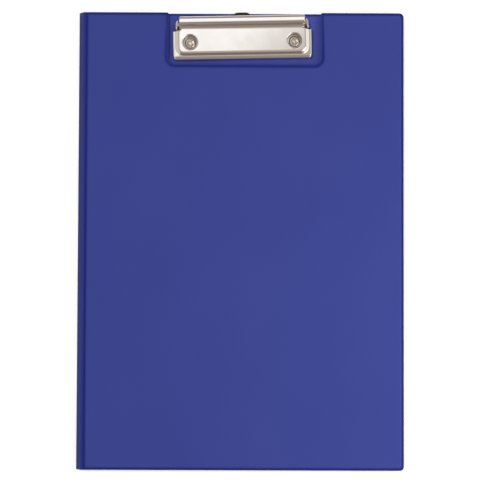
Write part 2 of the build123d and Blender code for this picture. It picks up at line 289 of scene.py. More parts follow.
def film_rings(edge_line, crease, weld, face, side, inside):
    """Rings of one side of a film, from its outer edge over the seam and the board's edge to the
    flat. Each is given by its left end, its inset, its height, its weld tone and its notch tone,
    which is painted shade along the notch's edge."""
    thick = 0 if inside else side * film
    shift = film * tan(atan2(abs(face - weld), edge_slope) / 2) if inside else 0
    foot = crease + hinge_seam
    start = crease + crease_gap
    level = weld + thick
    pressed_level = level - side * seam_depth
    top = face - side * film if inside else face
    if inside:
        rings = [(start, 0.0, weld, 1.0, notch_edge_shade)]
    else:
        rings = [
            (start, 0.0, level - side * film_end_round, 1.0, notch_edge_shade),
            (start, film_end_round, level, 1.0, notch_edge_shade),
            (start + 0.1, groove_start, level, 1.0, notch_edge_shade),
            (start + 0.2, groove_start + groove_side, pressed_level, 1.0, 0.35),
            (foot - 0.4, edge_seam - 0.3, pressed_level, 1.0, notch_seam_shade),
        ]
    for step in range(slope_steps + 1):
        share = step / slope_steps
        inset = edge_seam + shift + edge_slope * share
        left = inset - edge_seam + foot
        height = level + (top - level) * (0.5 - 0.5 * cos(pi * share))
        # The weld tone runs on up the lower part of the slope as painted shade.
        rings.append((left, inset, height, max(0.0, 1 - 1.6 * share), 0.55 + 0.25 * sin(pi * share)))
    for step, notch_flat_shade in ((0.3, notch_seam_shade), (1.2, 0.0)):
        rings.append((left + step, inset + step, top, 0.0, notch_flat_shade))
    lines = []
    for left, inset, height, weld_and_shade_tone, notch_shade in rings:
        line = []
        for x, y in edge_line(left, inset):
            # Only a notch's edge lies here, near the middle and short of the top. There the notch tone
            # of painted shade takes the weld tone's place.
            in_notch = abs(x) < half_length / 2 and half_length * 0.7 < y < half_length - 1 - inset
            line.append((Vector((x, y, height)), notch_shade if in_notch else weld_and_shade_tone))
        lines.append(line)
    return lines


def bridge(bm, low, high, closed=True):
    """Faces between two lines of vertices with as many in each."""
    count = len(low)
    for index in range(count if closed else count - 1):
        after = (index + 1) % count
        bm.faces.new((low[index], low[after], high[after], high[index]))


def join_lines(bm, layer, lines, closed_from):
    """Faces between neighbouring lines. From the one numbered closed_from they close at the left."""
    rows = []
    for line in lines:
        row = [bm.verts.new(point * mm) for point, weld_and_shade_tone in line]
        for vertex, (point, weld_and_shade_tone) in zip(row, line):
            vertex[layer] = weld_and_shade_tone
        rows.append(row)
    for number, (low, high) in enumerate(zip(rows[:-1], rows[1:])):
        bridge(bm, low, high, number >= closed_from)
    return rows


def arc(x, y, radius, first, last, steps):
    """Points along a part of a circle, from one angle in degrees to another."""
    angles = [radians(first + (last - first) * step / steps) for step in range(steps + 1)]
    return [Vector((x + radius * cos(angle), y + radius * sin(angle))) for angle in angles]


def circle(x, y, radius, count):
    """Points round a whole circle."""
    return arc(x, y, radius, 0, 360, count)[:-1]


def closed_loop(bm, points):
    """Points in millimetres as a ring of vertices and the edges between them."""
    ring = [bm.verts.new(Vector(point) * mm) for point in points]
    return ring, [bm.edges.new(pair) for pair in zip(ring, ring[1:] + ring[:1])]


def bored_face(bm, rim, bores):
    """The flat inside a rim, with round bores cut from it. It returns the bores' loops."""
    if not bores:
        bm.faces.new(rim)
        return []
    edges = [bm.edges.get(pair) for pair in zip(rim, rim[1:] + rim[:1])]
    loops = []
    for middle, radius in bores:
        height = rim[0].co.z / mm
        loop, sides = closed_loop(bm, [(*spot, height) for spot in circle(*middle, radius, 48)])
        edges += sides
        loops.append(loop)
    bmesh.ops.triangle_fill(bm, use_beauty=True, use_dissolve=False, edges=edges)
    return loops


def film_shell(name, edge_line, crease, weld, face, strip, material=blue_film, bores=()):
    """A closed film: its outer side, its inner side and the strip that runs on over the crease.
    strip gives the crease's stations as pairs of points in X and Z, on the weld line and on the face."""
    side = 1 if face > weld else -1
    bm = bmesh.new()
    layer = bm.verts.layers.float.new("weld")
    outside = film_rings(edge_line, crease, weld, face, side, False)
    inside = film_rings(edge_line, crease, weld, face, side, True)
    outer_rows = join_lines(bm, layer, outside, 1)
    inner_rows = join_lines(bm, layer, inside, 0)
    bridge(bm, inner_rows[0], outer_rows[0], False)
    outer_loops = bored_face(bm, outer_rows[-1], bores)
    inner_loops = bored_face(bm, inner_rows[-1], bores)
    for outer, inner in zip(outer_loops, inner_loops):
        bridge(bm, outer, inner)
    previous = None
    for seam_point, face_point in strip:
        edge_point = face_point - (face_point - seam_point).normalized() * film_end_round
        ends = (
            (seam_point, half_length),
            (edge_point, half_length),
            (face_point, half_length - film_end_round),
        )
        corners = [(p.x, -y, p.y) for p, y in ends] + [(p.x, y, p.y) for p, y in reversed(ends)]
        section = [bm.verts.new(Vector(corner) * mm) for corner in corners]
        for vertex in section:
            # Painted shade over the whole strip round the crease and spine.
            vertex[layer] = spine_shade_tone
        if previous:
            bridge(bm, previous, section)
        previous = section
    bm.faces.new(previous)
    piece = finished(name, bm, material, 50.0)
    keep_rest_place(piece)
    return piece


bend_core = 0.03
bend_start = 0.8


def direction(angle):
    """A unit vector of two coordinates at an angle from the first axis."""
    return Vector((cos(angle), sin(angle)))


def round_strip(crease, first_side, first_way, first_angle, last_angle, last_way, last_side):
    """Stations of a film that wraps round the outside of a crease."""
    start = crease + first_way * crease_gap
    stations = [(start, start + first_side * film)]
    steps = 8
    for step in range(steps + 1):
        out = direction(first_angle + (last_angle - first_angle) * step / steps)
        stations.append((crease + out * bend_core, crease + out * film))
    for reach in (crease_gap, spine_half):
        end = crease + last_way * reach
        stations.append((end, end + last_side * film))
    return stations


def inner_strip(crease, first_side, first_way, last_way, last_side, fold):
    """Stations of a film in the inner corner of a crease. fold is how far out its bend lies."""
    middle = (first_way + last_way).normalized()
    stations = []
    for way, side, reaches in (
        (first_way, first_side, (crease_gap, bend_start)),
        (last_way, last_side, (bend_start, crease_gap, spine_half)),
    ):
        part = [(crease + way * reach, crease + way * reach + side * film) for reach in reaches]
        if way is last_way:
            stations.append((crease + middle * bend_core, crease + middle * fold))
        stations += part
    return stations


right_way, up, down = Vector((1, 0)), Vector((0, 1)), Vector((0, -1))
out_angle = atan2(spine_out.y, spine_out.x)


def crease_blend(piece):
    """Bake the film's place into its mesh. Nothing here lets it bend about the crease."""
    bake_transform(piece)


rivet_boxes = [box_of(f"clip_rivet_{side}") for side in ("left", "right")]
rivet_middles = [((low + high) / 2).to_2d() for low, high in rivet_boxes]
rivet_head = 4.6
rivet_shank = 2.3
rivet_fit = 0.1

back_outer = film_shell(
    "back_outer_cover_film",
    back_line,
    back_crease.x,
    back_weld,
    0.0,
    round_strip(back_crease, down, right_way, radians(270), out_angle, spine_way, spine_out),
    bores=[(middle, rivet_head + rivet_fit) for middle in rivet_middles],
)
crease_blend(back_outer)
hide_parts("back_outer_film", "back_crease_film", "spine_outer_film")

back_inner = film_shell(
    "back_inner_cover_film",
    back_line,
    back_crease.x,
    back_weld,
    back_face,
    inner_strip(back_crease, up, right_way, spine_way, -spine_out, 0.5),
    inner_film_painted_lighter,
    [(middle, rivet_shank + rivet_fit) for middle in rivet_middles],
)
crease_blend(back_inner)
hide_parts("back_inner_film", "spine_inner_film")


# Cover
# The cover is the same sandwich with a thinner board, and a notch that leaves the clip free.
# Its films run on at the left as the second crease and the other half of the spine.
cover_weld = cover_low.z
cover_top = cover_high.z
cover_bottom = box_of("cover_inner_film")[0].z
notch_shift = 2.5
notch_half = 53.4
notch_left = notch_shift - notch_half
notch_right = notch_shift + notch_half
notch_low = half_length - 36.1
notch_radius = 4.5
notch_lip_radius = 1.5


def cover_line(left, inset):
    """Edge of the cover from its bottom left corner round to its top left one, notch included."""
    low, high, right = inset - half_length, half_length - inset, right_edge - inset
    radius = corner_radius * inset_share(inset)
    lip = notch_lip_radius * inset_share(inset)
    inner = notch_radius + inset
    corners = [
        (left, low, 0),
        (right, low, radius),
        (right, high, radius),
        (notch_right + inset, high, lip),
        (notch_right + inset, notch_low - inset, inner),
        (notch_left - inset, notch_low - inset, inner),
        (notch_left - inset, high, lip),
        (left, high, 0),
    ]
    return rounded_line(corners, 10)


cover_outer = film_shell(
    "front_outer_cover_film",
    cover_line,
    front_crease.x,
    cover_weld,
    cover_top,
    round_strip(front_crease, up, right_way, radians(90), out_angle, -spine_way, spine_out),
)
crease_blend(cover_outer)
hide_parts("cover_outer_film", "front_crease_film")

cover_inner = film_shell(
    "front_inner_cover_film",
    cover_line,
    front_crease.x,
    cover_weld,
    cover_bottom,
    inner_strip(front_crease, down, right_way, -spine_way, -spine_out, 0.36),
    inner_film_painted_lighter,
)
crease_blend(cover_inner)
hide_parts("cover_inner_film")


# Boards
# Two grey boards stiffen the back and the cover. They lie loose between the films,
# and only show if a film is slit.
def grey_board_material():
    """Recycled board: pressed fibres in several greys, with small dark flecks."""
    material, tree, shader = new_material("grey board", screen_colour(146, 138, 126))
    place = add_node(tree, "ShaderNodeTexCoord").outputs["Object"]
    fibres = noise(tree, place, 900.0, 6.0, Distortion=1.5)
    flecks = add_node(tree, "ShaderNodeTexVoronoi", {"Vector": place, "Scale": 260.0})
    pulp = mixed(tree, fibres, screen_colour(128, 120, 108), screen_colour(165, 157, 145))
    fleck = spread(tree, flecks.outputs["Distance"], 0.0, 1.0, 0.08, 0.2)
    colour = mixed(tree, fleck, screen_colour(92, 86, 78), pulp)
    dress(tree, shader, colour, 0.92, fibres, 0.5, 0.0001)
    return material


grey_board = grey_board_material()
for board in ("back_board", "cover_board"):
    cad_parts[board].data.materials.clear()
    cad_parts[board].data.materials.append(grey_board)


# Inside pocket
# A clear-blue sheet is welded to the cover's inner face on three sides.
# Its slanted top is left open for loose papers.
pocket_corners = box_of("inside_pocket")
pocket_left, pocket_low = pocket_corners[0].to_2d()
pocket_right, pocket_high = pocket_corners[1].to_2d()
pocket_left_height = pocket_high - pocket_low
pocket_right_height = 95.0
pocket_weld = 3.0
pocket_sheet = 0.3
pocket_gap = 0.8
pocket_bow = 0.16


def pocket_piece():
    """The pocket's sheet: flat on the cover along its welds, lifted off it inside them."""
    bm = bmesh.new()
    layer = bm.verts.layers.float.new("weld")
    columns, rows = 48, 30
    grids = []
    for lift in (0.0, 1.0):
        grid = []
        for column in range(columns + 1):
            across = column / columns
            x = pocket_left + (pocket_right - pocket_left) * across
            top = pocket_left_height + (pocket_right_height - pocket_left_height) * across
            line = []
            for row in range(rows + 1):
                along = row / rows
                y = pocket_low + top * along
                edge = min(x - pocket_left, pocket_right - x, y - pocket_low)
                share = min(1.0, max(0.0, (edge - pocket_weld * 0.6) / (pocket_weld * 1.4)))
                share = share * share * (3 - 2 * share)
                bow = pocket_bow * sin(pi * across) * share * along
                depth = (pocket_gap - bow) * share + pocket_sheet * lift
                vertex = bm.verts.new(Vector((x, y, cover_bottom - depth)) * mm)
                vertex[layer] = 1 - share
                line.append(vertex)
            grid.append(line)
        grids.append(grid)
    upper, lower = grids
    for grid in grids:
        for left, right in zip(grid[:-1], grid[1:]):
            bridge(bm, left, right, False)
    for side in (0, rows):
        bridge(bm, [line[side] for line in upper], [line[side] for line in lower], False)
    for side in (0, columns):
        bridge(bm, upper[side], lower[side], False)
    piece = finished("inside_pocket_sheet", bm, blue_film, 50.0)
    keep_rest_place(piece)
    return piece


pocket = pocket_piece()
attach(pocket, "cover")
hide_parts("inside_pocket")


# Clip base plate
# The clip stands on a nickel-plated steel plate with an ear at each end for the pivot rod.
# A channel pressed up in its middle holds the hanging loop.
clip_middle = (rivet_middles[0] + rivet_middles[1]) / 2
clip_way = rivet_middles[1] - rivet_middles[0]
rivet_apart = clip_way.length
clip_turn = atan2(clip_way.y, clip_way.x)
clip_place = Matrix.Translation(Vector((*clip_middle, back_face)) * mm)
clip_place = clip_place @ Matrix.Rotation(clip_turn, 4, "Z")


def plating_group():
    """Bright plating: slow haze in its gloss and fine rub marks along one way."""
    inputs = {"Place": None, "Least roughness": 0.12, "Most roughness": 0.26}
    tree, given, result = group_tree("plating", inputs, ("Roughness", "Height", "Haze"))
    place = given.outputs["Place"]
    haze = noise(tree, place, 60.0, 3.0)
    along = add_node(tree, "ShaderNodeMapping", {"Vector": place, "Scale": (0.06, 1.0, 1.0)})
    marks = noise(tree, along.outputs["Vector"], 2600.0, 4.0)
    least, most = given.outputs["Least roughness"], given.outputs["Most roughness"]
    feed(tree, result.inputs["Roughness"], spread(tree, haze, least, most, 0.3, 0.7))
    feed(tree, result.inputs["Height"], marks)
    feed(tree, result.inputs["Haze"], haze)
    return tree


plating = plating_group()


def plated_material(name, bright, dull, least, most, depth):
    """Plated or drawn steel with its own brightness and roughness."""
    material, tree, shader = new_material(name, bright)
    place = add_node(tree, "ShaderNodeTexCoord").outputs["Object"]
    inputs = {"Place": place, "Least roughness": least, "Most roughness": most}
    finish = add_node(tree, "ShaderNodeGroup", inputs, node_tree=plating).outputs
    colour = mixed(tree, finish["Haze"], bright, dull)
    dress(tree, shader, colour, finish["Roughness"], finish["Height"], 0.12, depth)
    shader.inputs["Metallic"].default_value = 1.0
    return material


nickel = plated_material(
    "nickel plate", screen_colour(252, 250, 247), screen_colour(246, 243, 239), 0.06, 0.12, 0.000004
)


def round_edges(holder, radius, segments, sharp):
    """A bevel on the edges that turn by more than so many degrees."""
    bevel = holder.modifiers.new("edges", "BEVEL")
    bevel.width = radius * mm
    bevel.segments = segments
    bevel.limit_method = "ANGLE"
    bevel.angle_limit = radians(sharp)


def worked(holder):
    """What a holder's modifiers make of its mesh, opened for more work. The holder goes."""
    bpy.context.view_layer.update()
    evaluated = holder.evaluated_get(bpy.context.evaluated_depsgraph_get())
    mesh = bpy.data.meshes.new_from_object(evaluated)
    bpy.data.objects.remove(holder)
    bm = bmesh.new()
    bm.from_mesh(mesh)
    return bm


def softened(node, name, material, radius):
    """A copy of a CAD node with its edges rounded, as pressing and barrelling leave them."""
    bm = bmesh.new()
    bm.from_mesh(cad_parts[node].data)
    bmesh.ops.remove_doubles(bm, verts=bm.verts, dist=1e-6)
    bmesh.ops.dissolve_limit(
        bm, angle_limit=radians(1.0), verts=bm.verts, edges=bm.edges, delimit=set()
    )
    holder = placed(name, mesh_of(name, bm))
    round_edges(holder, radius, 3, 30.0)
    bm = worked(holder)
    for face in bm.faces:
        face.material_index = 0
    return finished(name, bm, material, 40.0)


dull_zinc = plated_material(
    "dull zinc", screen_colour(226, 220, 212), screen_colour(206, 199, 189), 0.3, 0.42, 0.00001
)
ear_outer = 46.6
ear_inner = 45.0
ear_sheet = 1.0
tail_back = 13.2
tail_height = 4.26
tail_radius = 2.37
tail_tip_height = 6.4
tail_foot = Vector((12.4, 1.6))
tail_bend_start = 12.0
tail_bend = 0.09
rod_low, rod_high = box_of("clip_pivot_rod")
pivot_back = (((rod_low + rod_high) / 2).to_2d() - clip_middle).length
pivot_height = (rod_low.z + rod_high.z) / 2 - back_face
eye_radius = 2.05


def add_ear_tail(bm, side):
    """The rear of an ear: a rounded tail round the rod's eye, set a little inwards."""
    outline = [tail_foot] + arc(tail_back, tail_height, tail_radius, -70, 92, 8)
    outline.append(Vector((pivot_back, tail_tip_height)))
    outline += arc(pivot_back, pivot_height, eye_radius, 51, 0, 3)
    loops = []
    for across in (ear_outer, ear_outer - ear_sheet):
        loop = []
        for y, z in outline:
            inwards = tail_bend * max(0.0, y - tail_bend_start) ** 2
            loop.append(bm.verts.new(Vector((side * (across - inwards), y, z)) * mm))
        loops.append(loop)
        bm.faces.new(loop)
    bridge(bm, *loops)


base_plate = softened("clip_base", "clip_base_plate", dull_zinc, 0.15)
base_plate.data.materials.append(nickel)
bm = bmesh.new()
bm.from_mesh(base_plate.data)
pressed_count = len(bm.verts)
for side in (-1, 1):
    add_ear_tail(bm, side)
bm.verts.ensure_lookup_table()
bmesh.ops.transform(bm, matrix=clip_place, verts=bm.verts[pressed_count:])
bmesh.ops.recalc_face_normals(bm, faces=bm.faces)
unplaced = clip_place.inverted()
for face in bm.faces:
    if abs((unplaced @ face.calc_center_median()).x) > ear_inner * mm:
        face.material_index = 1
bm.to_mesh(base_plate.data)
bm.free()
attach(base_plate, "back")
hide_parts("clip_base")


# Pivot rod
# A plated steel rod through the ears of the base plate and the lugs of the jaw.
# Its ends are peened over outside the ears.
# The rod's dark grey is painted shade, so that the gaps beside the ears look dark.
rod_painted_dark = plated_material(
    "rod painted dark", screen_colour(96, 92, 88), screen_colour(74, 70, 67), 0.3, 0.42, 0.00001
)
pivot_rod = softened("clip_pivot_rod", "pivot_rod_peened", rod_painted_dark, 0.2)
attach(pivot_rod, "back")
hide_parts("clip_pivot_rod")


# Rivets
# Two semi-tubular rivets hold the base plate on the back board.
# Each has a flat head sunk in the back and a tube end rolled outwards over the plate.
head_low = -back_face
head_high = -2.1
plate_top = 1.0
roll_half = 3.8
roll_shoulder = 1.55
mouth_half = 2.5
mouth_high = 1.745
bore_half = 1.15
bore_low = -0.2
rivet_corners = [
    (0.0, head_low, 0.0),
    (rivet_head, head_low, 0.25),
    (rivet_head, head_high, 0.0),
    (rivet_shank, head_high, 0.0),
    (rivet_shank, plate_top, 0.0),
    (roll_half, plate_top, 0.1),
    (roll_half, roll_shoulder, 0.5),
    (mouth_half, mouth_high, 0.45),
    (bore_half, bore_low, 0.5),
    (0.0, bore_low + 0.08, 0.0),
]


def making_tree(name, inputs):
    """A Geometry Nodes tree with a Geometry input, a Finish and the named ones with their kinds."""
    tree = bpy.data.node_groups.new(name, "GeometryNodeTree")
    tree.interface.new_socket("Geometry", in_out="OUTPUT", socket_type="NodeSocketGeometry")
    for label, kind in {"Geometry": "Geometry", **inputs, "Finish": "Material"}.items():
        tree.interface.new_socket(label, in_out="INPUT", socket_type="NodeSocket" + kind)
    return tree, tree.nodes.new("NodeGroupInput").outputs


def end_tree(tree, given, geometry):
    """Close a tree with Realize Instances and Set Material."""
    real = add_node(tree, "GeometryNodeRealizeInstances", {"Geometry": geometry})
    inputs = {"Geometry": real.outputs["Geometry"], "Material": given["Finish"]}
    made = add_node(tree, "GeometryNodeSetMaterial", inputs).outputs["Geometry"]
    feed(tree, tree.nodes.new("NodeGroupOutput").inputs["Geometry"], made)
    return tree


def lathe_tree():
    """Geometry Nodes that turn a profile about the upright axis through a given place."""
    tree, given = making_tree("turned rivet", {"Facets": "Int", "Place": "Vector"})
    profile = add_node(tree, "GeometryNodeMeshToCurve", {"Mesh": given["Geometry"]})
    values = {"Resolution": given["Facets"], "Radius": 1e-6}
    ring = add_node(tree, "GeometryNodeCurvePrimitiveCircle", values)
    values = {"Curve": ring.outputs["Curve"], "Profile Curve": profile.outputs["Curve"]}
    turned = add_node(tree, "GeometryNodeCurveToMesh", values)
    values = {"Geometry": turned.outputs["Mesh"], "Distance": 5e-6}
    merged = add_node(tree, "GeometryNodeMergeByDistance", values)
    values = {"Geometry": merged.outputs["Geometry"], "Translation": given["Place"]}
    shifted = add_node(tree, "GeometryNodeTransform", values)
    return end_tree(tree, given, shifted.outputs["Geometry"])


def grown(name, points, tree, values):
    """What a Geometry Nodes tree makes from a line of points with the named values."""
    line = bpy.data.meshes.new(name)
    line.from_pydata(points, [(i, i + 1) for i in range(len(points) - 1)], [])
    holder = placed(name, line)
    modifier = holder.modifiers.new("making", "NODES")
    modifier.node_group = tree
    for item in tree.interface.items_tree:
        if item.item_type == "SOCKET" and item.in_out == "INPUT" and item.name in values:
            modifier[item.identifier] = values[item.name]
    return worked(holder)


rivet_steel = plated_material(
    "rivet steel", screen_colour(246, 241, 235), screen_colour(228, 221, 212), 0.14, 0.26, 0.000008
)
turned_rivet = lathe_tree()
for side, across in (("left", -rivet_apart / 2), ("right", rivet_apart / 2)):
    points = [(half * mm, -height * mm, 0) for half, height in rounded_line(rivet_corners, 4)]
    spot = clip_place @ Vector((across * mm, 0, 0))
    values = {"Facets": 64, "Place": spot, "Finish": rivet_steel}
    bm = grown("rivet profile", points, turned_rivet, values)
    rivet = finished(f"rolled_rivet_{side}", bm, rivet_steel, 45.0)
    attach(rivet, "back")
    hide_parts(f"clip_rivet_{side}")


# Jaw plate
# One nickel-plated sheet pressed into the jaw: a raised panel, flanges on three sides,
# two holes over the rivets and, at the back, the lever that the fingers press.
sheet = 1.0
front_low = 0.1
side_low = 0.5
side_rise_start = -7.0
jaw_half = 48.75
jaw_top = 6.8
jaw_front = 10.8
jaw_rear = 7.5
side_bend = 1.05
hem_corner = 2.4
lip_corner = 2.3
rim_corner = 0.8
rim_front = 10.2
rim_bend = 1.2
front_blend = -5.0
front_blend_length = 3.5
lip_slant = radians(40)
lip_slant_length = 1.3
lip_reach = 12.3
lip_bend = 0.9
panel_top = 7.7
panel_foot_half = 47.0
panel_foot_front = 9.9
panel_slope = 3.2
foot_share = 0.16
foot_rise = 0.136
panel_corner = 6.2
panel_rear = 0.9
lever_end_round = 1.3
lever_root = 9.2
root_bend = 1.2
lever_rise = radians(75)
rise_length = 3.4
crown_bend = 2.0
crown_start = 4.6
crown_run = 1.2
lever_flare = radians(-2)
flare_length = 1.9
lever_roll = radians(-60)
roll_bend = 2.4
tuck_start = 6.2
tuck_radius = 2.5
hole_middle = -0.35
hole_radius = 5.0
hole_sides = 64
rim_width = 0.9
lug_outer = 43.9
lug_radius = 2.4
lug_bore = 1.3
lug_neck = [(2.2, 6.2), (1.0, 8.3), (-2.4, 7.2)]


def u_line(half, front, radius, height, rear=jaw_rear, tuck=0.0):
    """Points along the left side, front and right side of the jaw, seen from above.
    Rear is where it ends, and tuck is how far it is drawn in round the panel's rear corner."""
    corner_start = radius - front
    side = [rear + (tuck_start - rear) * step / 6 for step in range(6)]
    side += [tuck_start + (corner_start - tuck_start) * step / 8 for step in range(8)]
    line = []
    for y in side:
        reach = max(0.0, y - tuck_start)
        line.append((-half + tuck * (tuck_radius - (tuck_radius**2 - reach**2) ** 0.5), y))
    for step in range(13):
        angle = pi / 2 * step / 12
        line.append((-half + radius - radius * cos(angle), corner_start - radius * sin(angle)))
    turned = [(-x, y) for x, y in reversed(line)]
    for step in range(1, 4):
        line.append(((-half + radius) * (1 - step / 2), -front))
    line += turned
    return [Vector((x, y, height(y) if callable(height) else height)) for x, y in line]


def lip_profile():
    """The front lip above its upright part: a bend, a slanted face and the bend up to the rim."""
    rim_middle = Vector((rim_front, jaw_top - rim_bend))
    slant_top = rim_middle + Vector((sin(lip_slant), cos(lip_slant))) * rim_bend
    slant_foot = slant_top + Vector((cos(lip_slant), -sin(lip_slant))) * lip_slant_length
    lip_middle = slant_foot - Vector((sin(lip_slant), cos(lip_slant))) * lip_bend
    points = []
    for middle, radius, low, high in (
        (lip_middle, lip_bend, radians(87), lip_slant),
        (rim_middle, rim_bend, lip_slant, 0.0),
    ):
        for step in range(6):
            angle = low + (high - low) * step / 5
            points.append(middle + Vector((sin(angle), cos(angle))) * radius)
    return [(point.x, point.y) for point in points]


def shoulder(share):
    """Rise of the panel's edge from its foot at 0 to its flat at 1: a tight foot, a broad shoulder."""
    if share < foot_share:
        return foot_rise * (share / foot_share) ** 2
    return sin(pi / 2 * (share - foot_share / 2) / (1 - foot_share / 2))


def jaw_rings():
    """The jaw's outer skin as lines from its lower edge up to the flat of the raised panel."""

    def lower_edge(y):
        if y < -jaw_front:
            return front_low
        along = max(0.0, (y - side_rise_start) / (jaw_rear - side_rise_start))
        return side_low + (pivot_height - side_low) * along

    rings = [u_line(jaw_half, lip_reach, hem_corner, lower_edge)]
    profile = lip_profile()
    for number, (front, front_height) in enumerate(profile):
        side_angle = pi / 2 * number / (len(profile) - 1)
        half = jaw_half - side_bend * (1 - cos(side_angle))
        side_height = jaw_top - side_bend * (1 - sin(side_angle))

        def bend_height(y, side_height=side_height, front_height=front_height):
            forward = min(1.0, max(0.0, (front_blend - y) / front_blend_length))
            return side_height + (front_height - side_height) * forward

        radius = lip_corner - (lip_corner - rim_corner) * (1 - cos(side_angle))
        rings.append(u_line(half, front, radius, bend_height))
    steps = 14
    for step in range(steps + 1):
        share = step / steps
        half = panel_foot_half - panel_slope * share
        front = panel_foot_front - panel_slope * share
        height = jaw_top + (panel_top - jaw_top) * shoulder(share)
        rings.append(
            u_line(
                half,
                front,
                panel_corner - panel_slope * share,
                height,
                jaw_rear + panel_rear * share,
                0.4 + 0.6 * share,
            )
        )
    inset = panel_slope + 0.08
    rings.append(
        u_line(
            panel_foot_half - inset,
            panel_foot_front - inset,
            panel_corner - inset,
            panel_top,
            jaw_rear + panel_rear,
            1.0,
        )
    )
    return rings


def lever_line():
    """The lever's upper skin seen from the side, from the panel to its rolled end."""
    points = [Vector((jaw_rear + panel_rear, panel_top)), Vector((lever_root, panel_top))]

    def bend(start, radius, low, high, turn, steps):
        # turn is 1 where the sheet bends up, and -1 where it bends down
        centre = start + direction(low).orthogonal() * radius * turn
        for step in range(1, steps + 1):
            angle = low + (high - low) * step / steps
            points.append(centre - direction(angle).orthogonal() * radius * turn)
        return points[-1]

    def straight(start, angle, length):
        for step in (1, 2):
            points.append(start + direction(angle) * length * step / 2)
        return points[-1]

    here = bend(points[-1], root_bend, 0.0, lever_rise, 1, 9)
    here = straight(here, lever_rise, rise_length)
    here = bend(here, crown_bend, lever_rise, lever_flare, -1, 12)
    here = straight(here, lever_flare, flare_length)
    bend(here, roll_bend, lever_flare, lever_roll, -1, 12)
    return points


def lever_rows(bm, first, last):
    """Rows of points across the lever. The first row ends in the two given points of the panel."""
    line = lever_line()
    lengths = [0.0]
    for start, end in zip(line[:-1], line[1:]):
        lengths.append(lengths[-1] + (end - start).length)
    root = abs(first.co.x) / mm
    rows = []
    for number, (point, length) in enumerate(zip(line, lengths)):
        crowned = min(1.0, max(0.0, length - crown_start) / crown_run)
        widening = 0.3 * min(1.0, length) ** 0.5 + 0.7 * crowned
        into = max(0.0, lever_end_round - (lengths[-1] - length))
        half = root + (lug_outer - root) * widening
        half -= lever_end_round - (lever_end_round**2 - into**2) ** 0.5
        row = []
        for share in (-1, -0.99, -0.75, -0.5, -0.25, 0, 0.25, 0.5, 0.75, 0.99, 1):
            if number == 0 and abs(share) == 1:
                row.append(first if share < 0 else last)
                continue
            row.append(bm.verts.new(Vector((half * share, point.x, point.y)) * mm))
        rows.append(row)
    return rows


def hole_rim(bm, across):
    """A hole in the panel with its rim rolled down. It returns the rim's outer loop."""
    rims = [(hole_radius + rim_width + 0.08, 0.0)]
    for angle in [pi / 2 * step / 9 for step in range(10)]:
        rims.append((hole_radius + rim_width * (1 - sin(angle)), rim_width * (1 - cos(angle))))
    loops = []
    for radius, depth in rims:
        spots = circle(across, hole_middle, radius, hole_sides)
        loops.append([bm.verts.new(Vector((*spot, panel_top - depth)) * mm) for spot in spots])
    for low, high in zip(loops[:-1], loops[1:]):
        bridge(bm, low, high)
    return loops[0]


def draw_out(bm, edges, way):
    """Fill the outline and the holes that edges draw, and draw the face out along way."""
    filled = bmesh.ops.triangle_fill(bm, use_beauty=True, use_dissolve=True, edges=edges)
    faces = [item for item in filled["geom"] if isinstance(item, bmesh.types.BMFace)]
    drawn = bmesh.ops.extrude_face_region(bm, geom=faces)
    moved = [item for item in drawn["geom"] if isinstance(item, bmesh.types.BMVert)]
    bmesh.ops.translate(bm, verts=moved, vec=Vector(way) * mm)


def add_lug(bm, low):
    """One of the two lugs under the lever that turn on the rod, from low one sheet across."""
    outer = arc(pivot_back, pivot_height, lug_radius, 180, 360, 24)
    outer += [Vector((pivot_back + back, height)) for back, height in lug_neck]
    edges = []
    for line in (outer, circle(pivot_back, pivot_height, lug_bore, 24)):
        edges += closed_loop(bm, [(low, *point) for point in line])[1]
    draw_out(bm, edges, (sheet, 0, 0))


def jaw_piece():
    """The pressed jaw: its outer skin as one surface, given its thickness inwards."""
    bm = bmesh.new()
    rows = [[bm.verts.new(point * mm) for point in line] for line in jaw_rings()]
    panel_line = rows[-1]
    lever = lever_rows(bm, panel_line[0], panel_line[-1])
    for low, high in list(zip(rows[:-1], rows[1:])) + list(zip(lever[:-1], lever[1:])):
        bridge(bm, low, high, False)
    rims = [hole_rim(bm, across) for across in (-rivet_apart / 2, rivet_apart / 2)]
    edges = []
    for line in [panel_line, lever[0]] + [rim + rim[:1] for rim in rims]:
        for pair in zip(line[:-1], line[1:]):
            edges.append(bm.edges.get(pair) or bm.edges.new(pair))
    bmesh.ops.triangle_fill(bm, use_beauty=True, use_dissolve=False, edges=edges)
    bmesh.ops.remove_doubles(bm, verts=bm.verts, dist=1e-6)
    bmesh.ops.recalc_face_normals(bm, faces=bm.faces)
    if max(bm.faces, key=lambda face: face.calc_area()).normal.z < 0:
        bmesh.ops.reverse_faces(bm, faces=bm.faces)
    holder = placed("jaw skin", mesh_of("jaw skin", bm))
    solid = holder.modifiers.new("sheet", "SOLIDIFY")
    solid.thickness = sheet * mm
    solid.offset = -1
    solid.use_quality_normals = True
    round_edges(holder, 0.12, 2, 60.0)
    bm = worked(holder)
    for low in (-lug_outer, lug_outer - sheet):
        add_lug(bm, low)
    bm.transform(clip_place)
    return finished("clip_pressed_jaw", bm, nickel, 50.0)


jaw = jaw_piece()
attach(jaw, "clip_jaw")
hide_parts("clip_jaw_plate")


